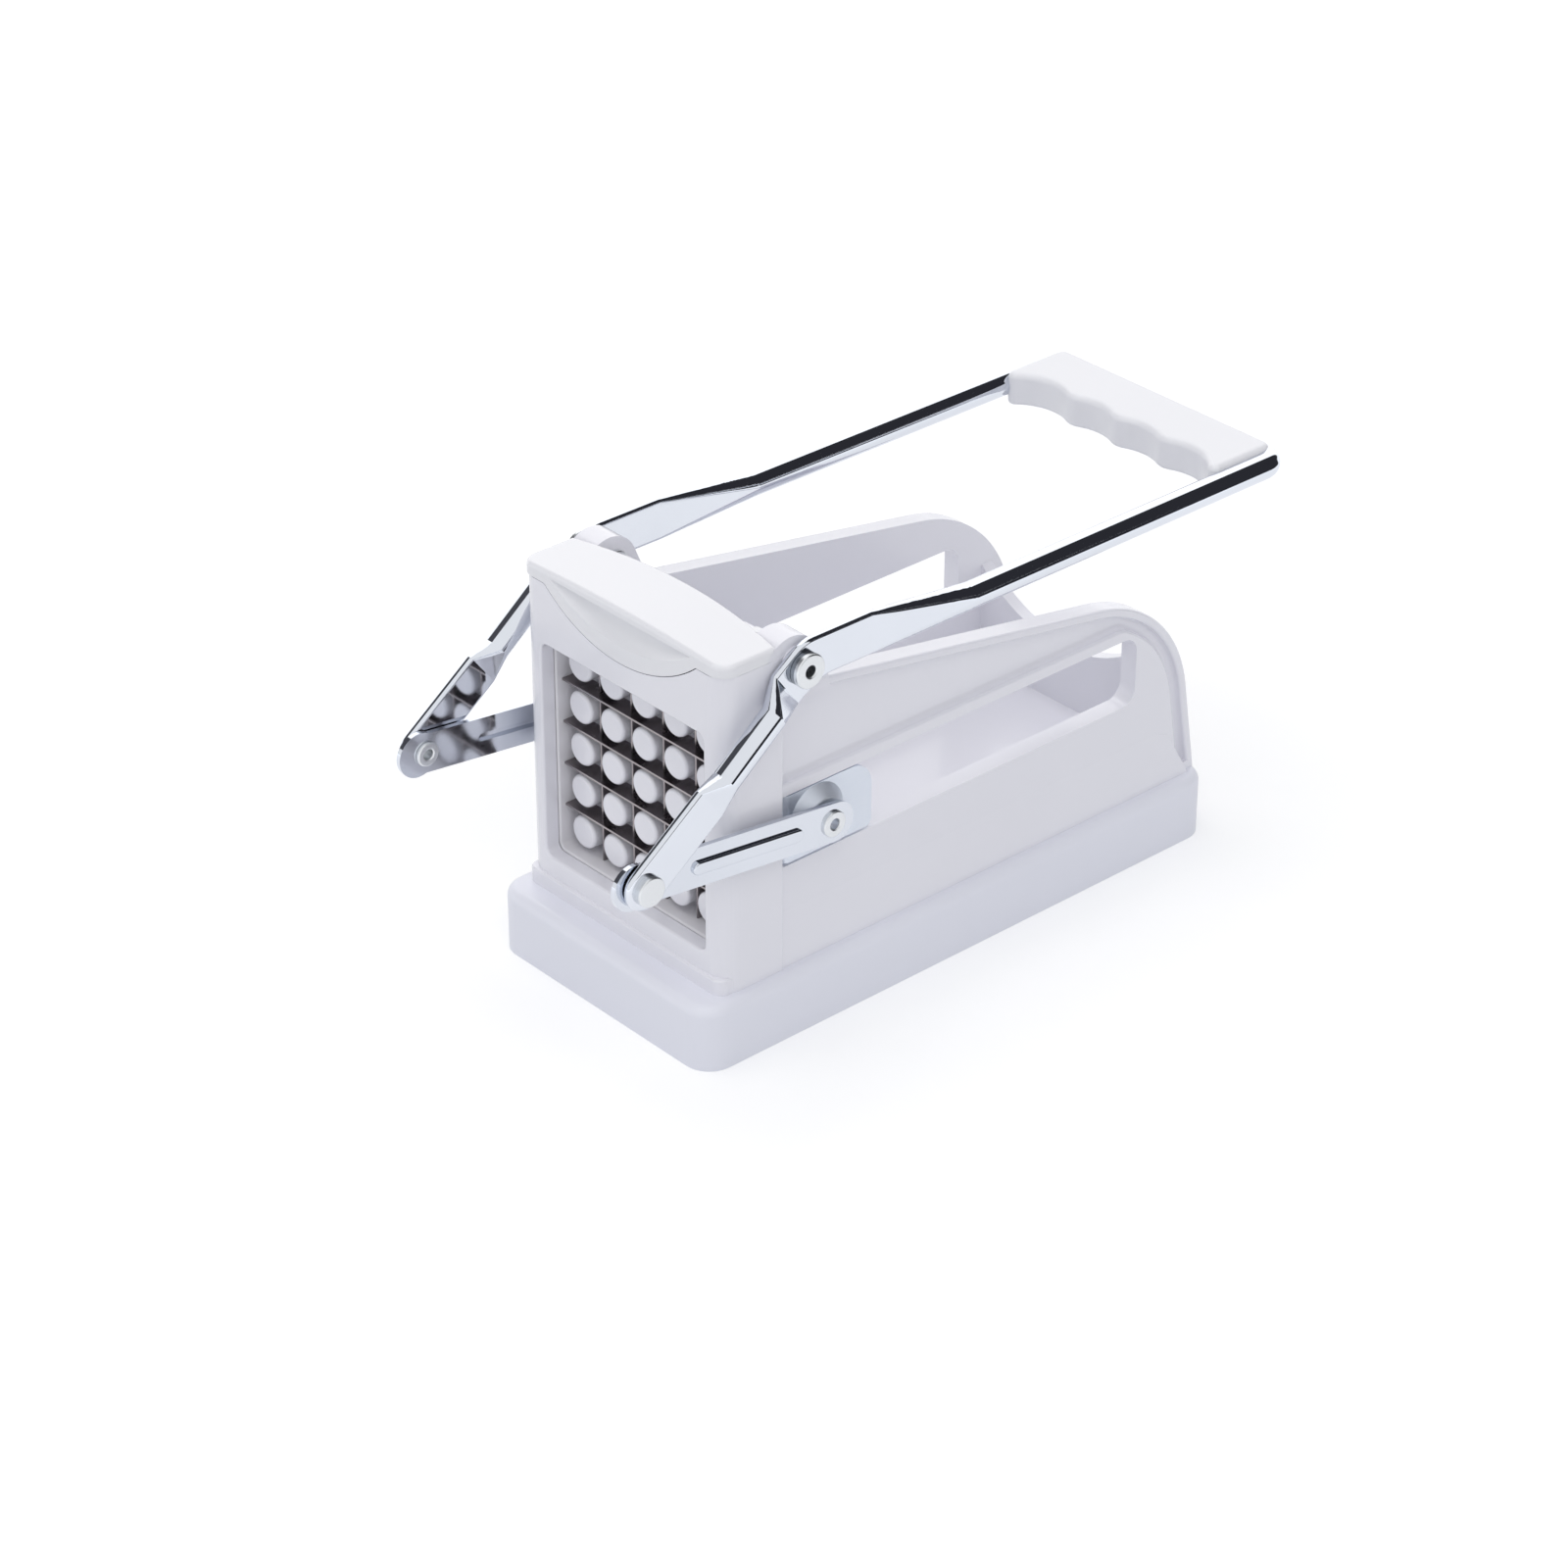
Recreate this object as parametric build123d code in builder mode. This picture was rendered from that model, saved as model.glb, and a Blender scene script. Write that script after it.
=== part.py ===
"""French fry cutter: a lever-driven pusher presses a potato through a grid of blades.

Frame: +Z up, +X to the long side with the near lever arm, the potatoes come out at -Y and
the handle lies towards +Y. The origin is the middle of the suction base's underside.
All lengths are millimetres.
"""

import os
from math import atan2, cos, degrees, radians, sin, sqrt

from build123d import *

os.makedirs("parts", exist_ok=True)

# --- clearances ---------------------------------------------------------------------------
pin_clearance = 0.05  # running fit of a pin in its hole, on the radius
seat_clearance = 0.15  # moulded parts that drop into one another
face_gap = 0.1  # flat faces that slide past one another
slide_gap = 0.5  # the pusher in its chamber and slots
overrun = 1.0  # how far a cut runs past a face, or a piece into its neighbour

# --- suction base -------------------------------------------------------------------------
base_width = 88.4
base_length = 190.9
base_height = 19.6
base_corner = 8.0
base_top_edge = 3.0
cup_depth = 3.0  # hollow under the base
cup_slope = 30.0  # slope of the hollow's sides, in degrees
cup_rim = 7.0  # band that rests on the table
well_top = 12.0  # the base's screws sit in wells in its underside
well_radius = 4.2
boss_radius = 4.0
base_screw_x = 50.0
base_screw_y = 60.0
base_screws_along = 3

# --- blade grid ---------------------------------------------------------------------------
cells = 5
cell_pitch = 13.0
blade_thickness = 0.6
blade_depth = 5.6
blade_grip = 2.2  # length of each blade end held in the cartridge
grid_z = 63.2
upright_front = -77.0  # front edge of the upright blades
level_front = -79.3  # front edge of the level blades
opening_width = cells * cell_pitch
opening_half = opening_width / 2

# --- blade cartridge ----------------------------------------------------------------------
cartridge_front = -81.4
cartridge_joint = -74.6  # the front and rear frames meet here
cartridge_rear = -70.0
cartridge_half = 37.0
cartridge_bottom = 26.8
cartridge_top = 101.0
cartridge_edge = 0.6
blade_play = 0.05  # around a blade in its pocket
tab_half = 20.0
tab_top = 111.5
tab_corner = 4.0
cartridge_screw_x = 34.9
cartridge_screw_low = 28.9
cartridge_screw_high = 98.5
cartridge_screw = 0.9
cartridge_screw_head = 1.6
cartridge_screw_head_height = 1.1
cartridge_screw_sink = 0.1  # the heads lie this far below the rear face
cartridge_screw_length = 8.4
cartridge_screw_hole = 4.0  # depth of the holes in the front frame

# --- body ---------------------------------------------------------------------------------
block_front = -86.1
block_depth = 20.8
block_width = 81.4
block_top = 114.8
block_corner = 6.0
block_rear_corner = 0.45
block_wall = 4.4
foot_step = 1.1  # the block's foot stands proud of its front face
foot_height = 4.7
foot_width = 80.4
foot_edge = 0.6
window_inset = 0.5  # the window is a little wider than the blade opening
window_corner = 2.5
window_edge = 0.8
opening_corner = 2.0
chamber_width = 66.0
wall_thickness = 3.0
raised_thickness = 5.8  # rim and raised panel, from the inside of the wall
rim_depth = 2.6
groove_width = 3.6  # between the rim and the raised panel
inner_round = 1.6  # rounding where the raised parts meet the wall
outer_round = 0.8
skirt_width = 80.4
skirt_top = 36.0
skirt_rear = 77.0  # rear end of the skirt's top edge, and where it has come down
skirt_rear_low = 82.0
skirt_rear_drop = 1.5
skirt_foot = 90.0
floor_top = 30.0
floor_thickness = 3.0
cross_wall_thickness = 4.0
cross_wall_gap = 9.5  # behind the side slots
cross_wall_low = 48.5
cross_wall_high = 62.9
slot_bottom = 50.0
slot_top = 71.5
slot_length = 133.3
slot_corner = 5.0
bead_width = 3.5  # raised panel above the slot
bead_corner = 8.5
wall_start = -49.0  # the wall's top line begins behind the ears
wall_start_height = 102.2
wall_slope = -0.174
wall_foot = 94.0
wall_foot_slope = 6.0
wall_bend = 44.0

# --- pivots, as (y, z) --------------------------------------------------------------------
pivot_y = -60.9
pivot_z = 111.2
crank_y = -117.2
crank_z = 69.5
wrist_y = -51.6
wrist_z = 61.6
ear_y = -62.5
ear_z = 110.3
ear_radius = 9.3
ear_inside = 32.0
ear_outside = 40.5
ear_depth = 2.2  # the ear's foot reaches this far below the wall's top line
ear_boss = 0.5
ear_boss_radius = 5.4

# --- lever --------------------------------------------------------------------------------
tube_diameter = 7.4
handle_x = 43.3
handle_z = 111.1
handle_rear = 119.2
handle_bend = 5.0
handle_start = -2.0  # round tube begins here, behind the taper
taper_start = -37.0
upper_plate_inside = 41.2
upper_plate_thickness = 2.5
upper_plate_height = 12.5
upper_plate_drop = 5.0  # plate reaches this far below the pivot
arm_x = 46.6
upper_flat_end = 7.2  # distances along the arm from the pivot
arm_round_start = 15.0
arm_round_end = 36.0
lower_flat_start = 43.0
arm_offset_top = 1.3  # the arm runs this far in front of the line through its pivots
arm_offset_bottom = 0.45
upper_flat_width = 13.5
upper_flat_offset = -0.55
lower_plate_inside = 45.4
lower_plate_thickness = 2.4
lower_plate_width = 12.6
plate_edge = 1.1
bend_outer = 12.0
hollow_y = -53.5
bend_inner = 10.0
flat_lead = 2.0  # straight stretch before the upper flat ends

# --- rivets -------------------------------------------------------------------------------
pivot_shank = 3.1
pivot_head = 4.9
pivot_hole = 1.7
pivot_face = 46.5
pivot_inside = 30.8
head_thickness = 1.3
crank_shank = 2.5
crank_head = 4.3
crank_face = 49.5
crank_inside = 42.5
crank_tail = 3.5
crank_hole = 1.5
crank_hole_depth = 3.0
wrist_shank = 2.4
wrist_head = 3.8
wrist_face = 45.9
wrist_hole = 1.6
wrist_gap = 0.3  # the wrist rivets' ends stop this far from the bracket's pads
rivet_edge = 0.5
wrist_edge = 0.4
pivot_tail = 4.2
washer_radius = 4.8
pivot_hole_depth = 9.0

# --- links --------------------------------------------------------------------------------
link_inside = 43.6
link_thickness = 1.4
link_half_width = 5.85
link_front_lobe = 6.5
link_front_reach = 2.4
link_rear_reach = 1.3
rib_start = 17.0
rib_end = 55.0
rib_width = 3.8
rib_height = 1.0
rib_edge = 0.6
groove_inset = 1.4

# --- pusher -------------------------------------------------------------------------------
peg_diameter = 9.6
peg_face = -78.7
peg_edge = 1.0
plate_front = -69.5
plate_thickness = 6.0
plate_inset = 0.2  # the plate is this much smaller all round than the grid
bracket_thickness = 1.4
bracket_outside = 38.6
bracket_rear = -32.0
bracket_corner = 7.5
bracket_low_corner = 2.4
bracket_bend = 2.4
pad_face = 42.3
pad_radius = 6.4
pad_cone = 2.9
pad_edge = 1.0
pusher_screw_x = 19.5
pusher_screw_rise = 6.5
pusher_screw_reach = 4.0  # thread length in the plate

# --- lid ----------------------------------------------------------------------------------
lid_seam = 0.2
lid_height = 3.5
lid_crown = 1.4
lid_width = 81.8
lid_corner = 5.0
lid_edge = 1.4
lid_gap = 0.4  # between the lid and the ears
lid_rear_middle = -63.4
lid_rear_side = -67.6
lobe_half_width = 30.6
lobe_drop = 11.3
lobe_gap = 0.25
lobe_thickness = 5.6
recess_radius = 52.4  # the finger recess under the lid's front edge
recess_low = 108.8
recess_top = 117.3
recess_depth = 3.2
lug_inside = 24.0
lug_width = 4.2
lug_radius = 3.8
lug_foot = 3.5  # the lug's foot ends this far ahead of the block's rear face
lug_foot_height = 2.0
post_width = 4.5
post_radius = 3.3
post_gap = 0.3  # between a post and its lug
lid_pin_radius = 1.2

# --- grip ---------------------------------------------------------------------------------
grip_width = 83.0
grip_front = 98.5  # bottom of the finger hollows
grip_rear = 116.6
grip_bottom = 105.8
grip_top = 115.9
finger_count = 4
finger_pitch = 18.0
finger_radius = 15.0
finger_ridge = 6.0  # rounding of the ridges between the hollows
grip_corner = 2.2
grip_rear_corner = 3.0
grip_edge = 1.9
grip_low_edge = 1.2
grip_screw_count = 3
grip_screw_pitch = 27.0
grip_screw_y = 106.5
grip_screw_top = 113.6
grip_well = 1.9

# --- screws -------------------------------------------------------------------------------
screw_shank = 1.4
screw_head = 2.8
screw_head_height = 1.6
base_screw_head = 3.4
base_screw_reach = 6.0  # thread length in the body's bosses
screw_play = 0.3  # a blind screw hole is this much longer than the screw


def placed(origin, x_dir, z_dir):
    """A sketch plane from its origin and two axes."""
    return Plane(origin=origin, x_dir=x_dir, z_dir=z_dir)


def save(piece, name):
    """Label a finished piece and write it under its node name."""
    piece.part.label = name
    export_step(piece.part, f"parts/{name}.step")


def disc(side, centre, radius, inner, outer, mode=Mode.ADD):
    """A disc about a pivot, between two distances from the middle plane, on one side."""
    with BuildSketch(Plane.YZ.offset(side * inner)) as face:
        with Locations(centre):
            Circle(radius)
    extrude(face.sketch, amount=side * (outer - inner), mode=mode)


def block(x, y, z, mode=Mode.ADD):
    """A box between pairs of x, y and z."""
    with Locations(((x[0] + x[1]) / 2, (y[0] + y[1]) / 2, (z[0] + z[1]) / 2)):
        Box(x[1] - x[0], y[1] - y[0], z[1] - z[0], mode=mode)


def posts(plane, spots, radius, length, mode=Mode.ADD):
    """Round posts, or holes, of one radius and length that stand on a plane."""
    with BuildSketch(plane) as rounds:
        with Locations(*spots):
            Circle(radius)
    extrude(rounds.sketch, amount=length, mode=mode)


pivot = (pivot_y, pivot_z)
crank = (crank_y, crank_z)
wrist = (wrist_y, wrist_z)

# The arm's own directions: along it from the pivot to the crank, and forward of it.
crank_length = sqrt((crank_y - pivot_y) ** 2 + (crank_z - pivot_z) ** 2)
along_y = (crank_y - pivot_y) / crank_length
along_z = (crank_z - pivot_z) / crank_length

block_rear = block_front + block_depth
chamber_half = chamber_width / 2
raised_outside = chamber_half + raised_thickness
window_half = opening_half + window_inset
grid_top = grid_z + opening_half
slot_rear = block_rear + slot_length
cross_wall_y = slot_rear + cross_wall_gap

# --- suction base -------------------------------------------------------------------------
base_screw_spots = [
    (side * base_screw_x / 2, (row - (base_screws_along - 1) / 2) * base_screw_y)
    for side in (1, -1)
    for row in range(base_screws_along)
]

with BuildPart() as suction_base:
    with BuildSketch():
        RectangleRounded(base_width, base_length, base_corner)
    extrude(amount=base_height)
    fillet(suction_base.faces().sort_by(Axis.Z)[-1].edges(), base_top_edge)
    with BuildSketch():
        RectangleRounded(base_width - 2 * cup_rim, base_length - 2 * cup_rim, base_corner)
    extrude(amount=cup_depth, taper=cup_slope, mode=Mode.SUBTRACT)
    posts(Plane.XY, base_screw_spots, well_radius, well_top, Mode.SUBTRACT)
    posts(Plane.XY, base_screw_spots, screw_shank, base_height, Mode.SUBTRACT)
save(suction_base, "suction_base")

# --- side wall ----------------------------------------------------------------------------
# The wall's outline: a sloping top line and a steep rear line, joined by a wide bend.
corner_z = (
    wall_start_height + wall_slope * (wall_foot - wall_start + base_height / wall_foot_slope)
) / (1 + wall_slope / wall_foot_slope)
corner_y = wall_foot - (corner_z - base_height) / wall_foot_slope
wall_front = block_rear - wall_thickness


def wall_face(x, rim=0):
    """The side wall's outline on a plane at a given x, or only a rim of it."""
    with BuildSketch(Plane.YZ.offset(x)) as face:
        with BuildLine():
            FilletPolyline(
                (wall_front, base_height),
                (wall_front, wall_start_height - wall_slope * (wall_start - wall_front)),
                (corner_y, corner_z),
                (wall_foot, base_height),
                radius=[outer_round, wall_bend],
            )
            Line((wall_foot, base_height), (wall_front, base_height))
        make_face()
        if rim:
            offset(amount=-rim, mode=Mode.SUBTRACT)
    return face.sketch


def slot_face(x):
    """The side slot's outline on a plane at a given x."""
    with BuildSketch(Plane.YZ.offset(x)) as face:
        with BuildLine():
            FilletPolyline(
                (block_rear - overrun, slot_top),
                (slot_rear, slot_top),
                (slot_rear, slot_bottom),
                (block_rear - overrun, slot_bottom),
                radius=slot_corner,
            )
            Line((block_rear - overrun, slot_bottom), (block_rear - overrun, slot_top))
        make_face()
    return face.sketch


# The raised panel's rear edge runs along the rim, with the groove between them.
bend_edge = wall_face(0).edges().filter_by(GeomType.CIRCLE).sort_by(SortBy.LENGTH)[-1]
bend = bend_edge.arc_center
panel_bend = wall_bend - rim_depth - groove_width
panel_top = slot_top + bead_width
panel_top_end = bend.Y + sqrt(panel_bend**2 - (panel_top - bend.Z) ** 2)
foot_angle = atan2(1, wall_foot_slope)
panel_bend_end = (bend.Y + panel_bend * cos(foot_angle), bend.Z + panel_bend * sin(foot_angle))
panel_foot = panel_bend_end[0] + (panel_bend_end[1] - base_height) / wall_foot_slope
middle_angle = (foot_angle + atan2(panel_top - bend.Z, panel_top_end - bend.Y)) / 2

with BuildPart() as side_wall:
    extrude(wall_face(chamber_half), amount=wall_thickness)
    extrude(wall_face(chamber_half, rim_depth), amount=raised_thickness)
    with BuildSketch(Plane.YZ.offset(chamber_half)) as panel:
        with BuildLine():
            Line((wall_front, panel_top), (panel_top_end, panel_top))
            ThreePointArc(
                (panel_top_end, panel_top),
                (bend.Y + panel_bend * cos(middle_angle), bend.Z + panel_bend * sin(middle_angle)),
                panel_bend_end,
            )
            Polyline(
                panel_bend_end,
                (panel_foot, base_height),
                (wall_front, base_height),
                (wall_front, panel_top),
            )
        make_face()
        fillet(panel.vertices().sort_by_distance((0, panel_top_end, panel_top))[0], bead_corner)
    extrude(amount=raised_thickness)
    floor = side_wall.faces().filter_by(Axis.X).group_by(Axis.X)[1]
    fillet(floor.edges().filter_by(lambda edge: edge.center().Y > block_rear), inner_round)
    raised = side_wall.faces().filter_by(Axis.X).group_by(Axis.X)[-1]
    fillet(
        raised.edges().filter_by(
            lambda edge: edge.center().Y > block_rear and edge.center().Z > base_height + rim_depth
        ),
        outer_round,
    )
    # skirt that spreads towards the base
    with BuildSketch(Plane.YZ.offset(chamber_half)):
        Polygon(
            (wall_front, skirt_top),
            (skirt_rear, skirt_top),
            (skirt_rear_low, skirt_top - skirt_rear_drop),
            (skirt_foot, base_height),
            (wall_front, base_height),
            align=None,
        )
    extrude(amount=skirt_width / 2 - chamber_half)
    with BuildSketch(Plane.XZ.offset(-wall_foot)):
        Polygon(
            (chamber_half, base_height),
            (skirt_width / 2, base_height),
            (raised_outside, skirt_top),
            (raised_outside, block_top),
            (chamber_half, block_top),
            align=None,
        )
    extrude(amount=wall_foot - wall_front, mode=Mode.INTERSECT)
    slot = slot_face(chamber_half - overrun)
    extrude(slot, amount=raised_thickness + 2 * overrun, mode=Mode.SUBTRACT)

# --- body shell ---------------------------------------------------------------------------
# The ear's rear edge leaves its circle on a tangent that ends on the wall's top line.
ear_reach = sqrt((wall_start - ear_y) ** 2 + (wall_start_height - ear_z) ** 2)
ear_turn = degrees(atan2(wall_start_height - ear_z, wall_start - ear_y))
ear_open = degrees(atan2(sqrt(ear_reach**2 - ear_radius**2), ear_radius))
tangent_y = ear_y + ear_radius * cos(radians(ear_turn + ear_open))
tangent_z = ear_z + ear_radius * sin(radians(ear_turn + ear_open))
ear_foot = wall_start_height - ear_depth

lobe_radius = (lobe_half_width**2 + lobe_drop**2) / (2 * lobe_drop)
lobe_z = block_top - lobe_drop + lobe_radius
post_outside = lug_inside - post_gap
post_inside = post_outside - post_width

with BuildPart() as block_foot:
    with BuildSketch(Plane.XY.offset(base_height)) as foot_plan:
        with Locations((0, (block_front - foot_step + block_rear) / 2)):
            Rectangle(foot_width, block_depth + foot_step)
        fillet(foot_plan.vertices().group_by(Axis.Y)[0], block_corner / 2)
    extrude(amount=foot_height)
    foot_top = block_foot.faces().sort_by(Axis.Z)[-1].edges()
    fillet(foot_top.filter_by(lambda edge: edge.center().Y < block_rear - overrun), foot_edge)

with BuildPart() as body_shell:
    add(side_wall.part)
    mirror(about=Plane.YZ)
    # chamber floor and rear cross wall
    block(
        (-chamber_half - overrun, chamber_half + overrun),
        (block_rear - overrun, cross_wall_y + overrun),
        (floor_top - floor_thickness, floor_top),
    )
    with BuildSketch(Plane.XZ.offset(-cross_wall_y)) as cross_wall:
        with BuildLine():
            ThreePointArc(
                (-chamber_half - overrun, cross_wall_high),
                (0, cross_wall_low),
                (chamber_half + overrun, cross_wall_high),
            )
            Polyline(
                (chamber_half + overrun, cross_wall_high),
                (chamber_half + overrun, base_height),
                (-chamber_half - overrun, base_height),
                (-chamber_half - overrun, cross_wall_high),
            )
        make_face()
    extrude(amount=-cross_wall_thickness)
    # front block and its foot
    with BuildSketch(Plane.XY.offset(base_height)) as block_plan:
        with Locations((0, (block_front + block_rear) / 2)):
            Rectangle(block_width, block_depth)
        fillet(block_plan.vertices().group_by(Axis.Y)[0], block_corner)
        fillet(block_plan.vertices().group_by(Axis.Y)[-1], block_rear_corner)
    extrude(amount=block_top - base_height)
    add(block_foot.part)
    # ears with their bosses
    for side in (1, -1):
        with BuildSketch(Plane.YZ.offset(side * ear_inside)) as ear:
            with Locations((ear_y, ear_z)):
                Circle(ear_radius)
            with BuildLine():
                Polyline(
                    (ear_y, ear_z),
                    (tangent_y, tangent_z),
                    (wall_start, wall_start_height),
                    (wall_start, ear_foot),
                    (wall_front, ear_foot),
                    close=True,
                )
            make_face()
        extrude(amount=side * (ear_outside - ear_inside))
        boss_face = ear_outside + ear_boss
        disc(side, pivot, ear_boss_radius, ear_inside, boss_face)
        disc(side, pivot, pivot_shank, ear_inside - overrun, boss_face, Mode.SUBTRACT)
    # window through the front wall, with softened edges
    channel_front = block_front + block_wall
    channel_half = cartridge_half + seat_clearance
    with BuildSketch(Plane.XZ.offset(-channel_front)) as window:
        with Locations((0, grid_z)):
            RectangleRounded(2 * window_half, 2 * window_half, window_corner)
    extrude(amount=block_wall + overrun, mode=Mode.SUBTRACT)
    front_face = body_shell.faces().filter_by(Axis.Y).group_by(Axis.Y)[1].sort_by(SortBy.AREA)[-1]
    fillet(front_face.inner_wires()[0].edges(), window_edge)
    # channel that the cartridge drops into, and the way through to the chamber
    block(
        (-channel_half, channel_half),
        (channel_front, cartridge_rear + seat_clearance),
        (cartridge_bottom - seat_clearance, block_top + overrun),
        Mode.SUBTRACT,
    )
    block(
        (-chamber_half, chamber_half),
        (cartridge_rear - overrun, block_rear + overrun),
        (floor_top, grid_top + slide_gap),
        Mode.SUBTRACT,
    )
    # the lid's lobe dips into the front wall
    with BuildSketch(Plane.XZ.offset(-channel_front)) as lobe_cut:
        with Locations((0, lobe_z)):
            Circle(lobe_radius)
    extrude(amount=block_wall + overrun, mode=Mode.SUBTRACT)
    # hinge posts for the lid, on the bar behind the cartridge
    for side in (1, -1):
        with BuildSketch(Plane.YZ.offset(side * post_inside)) as post:
            with Locations(pivot):
                Circle(post_radius)
            with BuildLine():
                Polyline(
                    (pivot_y, pivot_z + post_radius),
                    (block_rear - overrun, pivot_z + post_radius),
                    (block_rear - overrun, pivot_z - 3 * post_radius),
                    (pivot_y + post_radius * 0.7, pivot_z - post_radius * 0.7),
                    (pivot_y, pivot_z),
                    close=True,
                )
            make_face()
        extrude(amount=side * post_width)
        disc(side, pivot, lid_pin_radius, post_inside, post_outside, Mode.SUBTRACT)
    # bosses under the floor for the screws that hold the base
    underside = Plane.XY.offset(base_height)
    boss_height = floor_top - floor_thickness / 2 - base_height
    posts(underside, base_screw_spots, boss_radius, boss_height)
    pilot_depth = base_screw_reach + screw_play
    posts(underside, base_screw_spots, screw_shank, pilot_depth, Mode.SUBTRACT)
save(body_shell, "body_shell")

# --- blades -------------------------------------------------------------------------------
# Upright and level blades cross through half notches, so each keeps its full length.
lap_y = (upright_front + level_front + blade_depth) / 2
blade_half = opening_half + blade_grip
notch_half = blade_thickness / 2 + 2 * blade_play
cuts = [cell_pitch * (i + 1 - cells / 2) for i in range(cells - 1)]

for number, x in enumerate(cuts, start=1):
    with BuildPart() as upright:
        block(
            (x - blade_thickness / 2, x + blade_thickness / 2),
            (upright_front, upright_front + blade_depth),
            (grid_z - blade_half, grid_z + blade_half),
        )
        for z in cuts:
            block(
                (x - overrun, x + overrun),
                (upright_front - overrun, lap_y + blade_play),
                (grid_z + z - notch_half, grid_z + z + notch_half),
                Mode.SUBTRACT,
            )
    save(upright, f"blade_upright_{number}")

for number, z in enumerate(cuts, start=1):
    with BuildPart() as level:
        block(
            (-blade_half, blade_half),
            (level_front, level_front + blade_depth),
            (grid_z + z - blade_thickness / 2, grid_z + z + blade_thickness / 2),
        )
        for x in cuts:
            block(
                (x - notch_half, x + notch_half),
                (lap_y - blade_play, level_front + blade_depth + overrun),
                (grid_z + z - overrun, grid_z + z + overrun),
                Mode.SUBTRACT,
            )
    save(level, f"blade_level_{number}")


def cut_blade_slots():
    """Cut the pockets that hold the blade ends."""
    pocket = blade_thickness / 2 + blade_play
    reach = blade_half + blade_play
    for place in cuts:
        block(
            (place - pocket, place + pocket),
            (upright_front - blade_play, upright_front + blade_depth + blade_play),
            (grid_z - reach, grid_z + reach),
            Mode.SUBTRACT,
        )
        block(
            (-reach, reach),
            (level_front - blade_play, level_front + blade_depth + blade_play),
            (grid_z + place - pocket, grid_z + place + pocket),
            Mode.SUBTRACT,
        )


# --- blade cartridge ----------------------------------------------------------------------
cartridge_screw_spots = [
    (x, z)
    for x in (-cartridge_screw_x, cartridge_screw_x)
    for z in (cartridge_screw_low, cartridge_screw_high)
]
screw_seat_y = cartridge_rear - cartridge_screw_sink - cartridge_screw_head_height


def cartridge_plan(y):
    """The cartridge's outline with its square opening."""
    with BuildSketch(Plane.XZ.offset(-y)) as face:
        with Locations((0, (cartridge_bottom + cartridge_top) / 2)):
            Rectangle(2 * cartridge_half, cartridge_top - cartridge_bottom)
        with Locations((0, grid_z)):
            RectangleRounded(2 * opening_half, 2 * opening_half, opening_corner, mode=Mode.SUBTRACT)
    return face.sketch


with BuildPart() as cartridge_front_frame:
    extrude(cartridge_plan(cartridge_front), amount=cartridge_front - cartridge_joint)
    front_face = cartridge_front_frame.faces().sort_by(Axis.Y)[0]
    fillet(front_face.inner_wires()[0].edges(), cartridge_edge)
    cut_blade_slots()
    joint_face = Plane.XZ.offset(-cartridge_joint)
    posts(
        joint_face, cartridge_screw_spots, cartridge_screw, cartridge_screw_hole, Mode.SUBTRACT
    )
save(cartridge_front_frame, "cartridge_front_frame")

with BuildPart() as cartridge_rear_frame:
    extrude(cartridge_plan(cartridge_joint), amount=cartridge_joint - cartridge_rear)
    # pull tab, reached when the lid is open
    tab_foot = cartridge_top - overrun
    block((-tab_half, tab_half), (cartridge_joint, cartridge_rear), (tab_foot, tab_top))
    fillet(cartridge_rear_frame.edges().filter_by(Axis.Y).group_by(Axis.Z)[-1], tab_corner)
    cut_blade_slots()
    for x, z in cartridge_screw_spots:
        with Locations(placed((x, cartridge_rear, z), (1, 0, 0), (0, 1, 0))):
            CounterBoreHole(cartridge_screw, cartridge_screw_head, cartridge_rear - screw_seat_y)
save(cartridge_rear_frame, "cartridge_rear_frame")

with BuildPart() as cartridge_screws:
    screw_seat = Plane.XZ.offset(-screw_seat_y)
    posts(screw_seat, cartridge_screw_spots, cartridge_screw_head, -cartridge_screw_head_height)
    shank_length = cartridge_screw_length - cartridge_screw_head_height
    posts(screw_seat, cartridge_screw_spots, cartridge_screw, shank_length)
save(cartridge_screws, "cartridge_screws")

# --- pusher -------------------------------------------------------------------------------
plate_half = opening_half - plate_inset
plate_rear = plate_front + plate_thickness
pusher_screw_spots = [
    (x, wrist_z + rise)
    for x in (-pusher_screw_x, pusher_screw_x)
    for rise in (-pusher_screw_rise, pusher_screw_rise)
]

with BuildPart() as pusher_block:
    with BuildSketch(Plane.XZ.offset(-plate_rear)):
        with Locations((0, grid_z)):
            RectangleRounded(2 * plate_half, 2 * plate_half, opening_corner)
    extrude(amount=plate_thickness)
    with BuildSketch(Plane.XZ.offset(-plate_front)) as pegs:
        with Locations((0, grid_z)):
            with GridLocations(cell_pitch, cell_pitch, cells, cells):
                Circle(peg_diameter / 2)
    extrude(amount=plate_front - peg_face)
    tips = pusher_block.faces().filter_by(Axis.Y).group_by(Axis.Y)[0]
    fillet(tips.edges(), peg_edge)
    hole_depth = pusher_screw_reach + screw_play
    posts(
        Plane.XZ.offset(-plate_rear), pusher_screw_spots, screw_shank, hole_depth, Mode.SUBTRACT
    )
save(pusher_block, "pusher_block")

bracket_inside = bracket_outside - bracket_thickness
bracket_bottom = slot_bottom + slide_gap
bracket_top = slot_top - slide_gap
web_rear = plate_rear + bracket_thickness

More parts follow.
